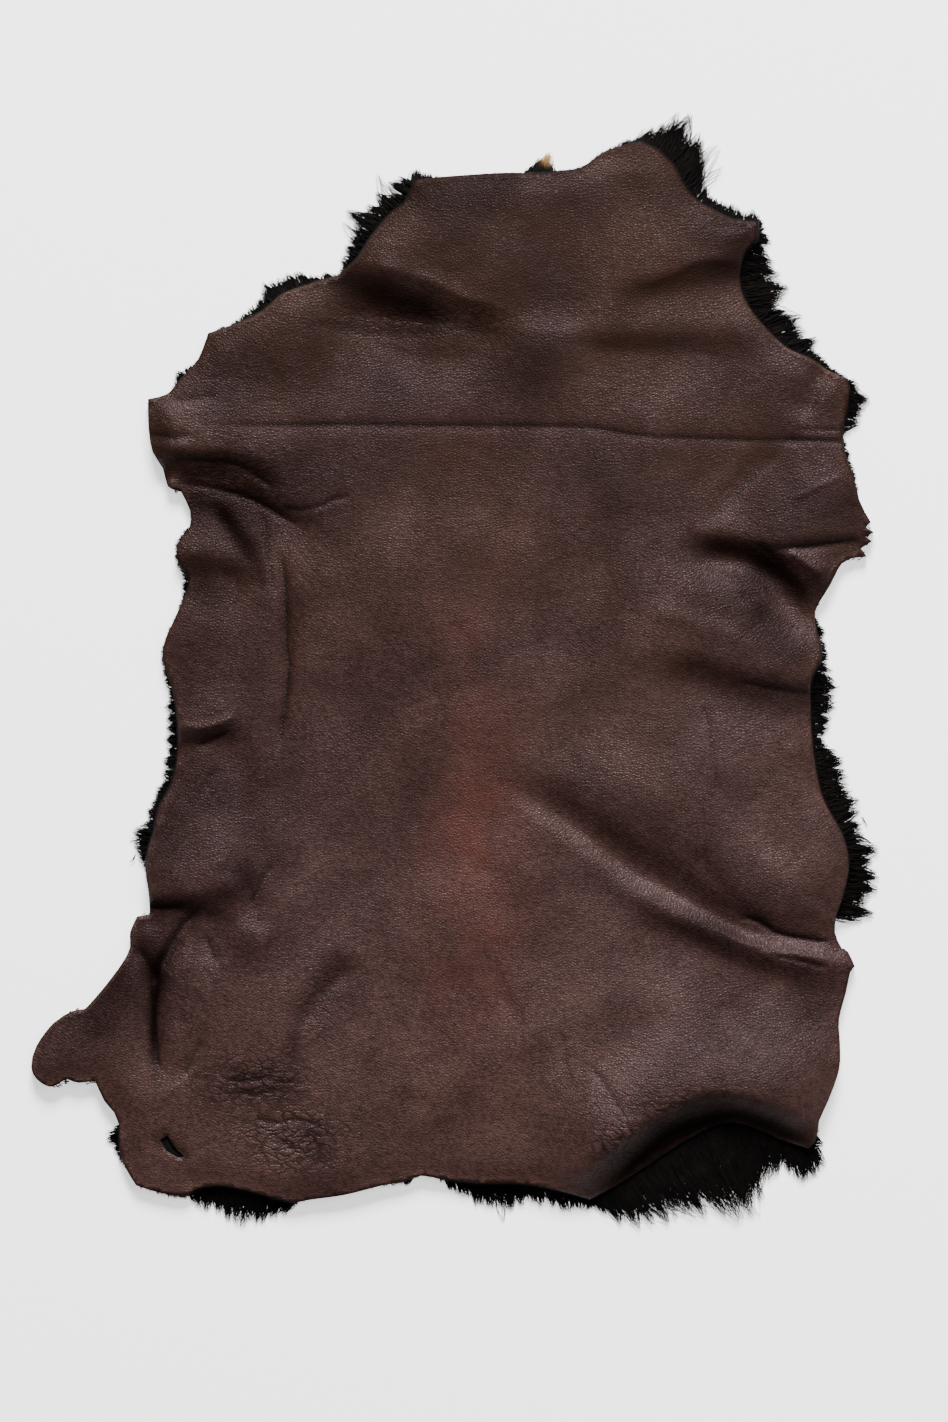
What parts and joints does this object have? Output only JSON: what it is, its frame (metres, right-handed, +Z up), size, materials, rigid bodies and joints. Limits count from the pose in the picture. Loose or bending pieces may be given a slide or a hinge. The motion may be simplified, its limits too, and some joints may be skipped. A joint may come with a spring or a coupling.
{
  "type": "sheepskin",
  "caption": "Natural-outline sheepskin laid out flat, dark brown leather side up, with packing folds and black wool showing round its rim.",
  "frame": {"origin": "on the surface that the sheepskin lies on, under the centre of its box", "axes": "+Y from the rump to the neck, +Z up out of the leather side, +X to the right seen from above"},
  "size_m": [0.8468, 1.1068, 0.0417],
  "materials": {
    "leather": "semi-gloss dark brown nappa, fine pebbled grain",
    "wool": "matt near-black wool, pressed flat, with loose locks at the rim"
  },
  "bodies": {
    "root": {"skin": "leather", "fleece": "wool"}
  },
  "joints": []
}
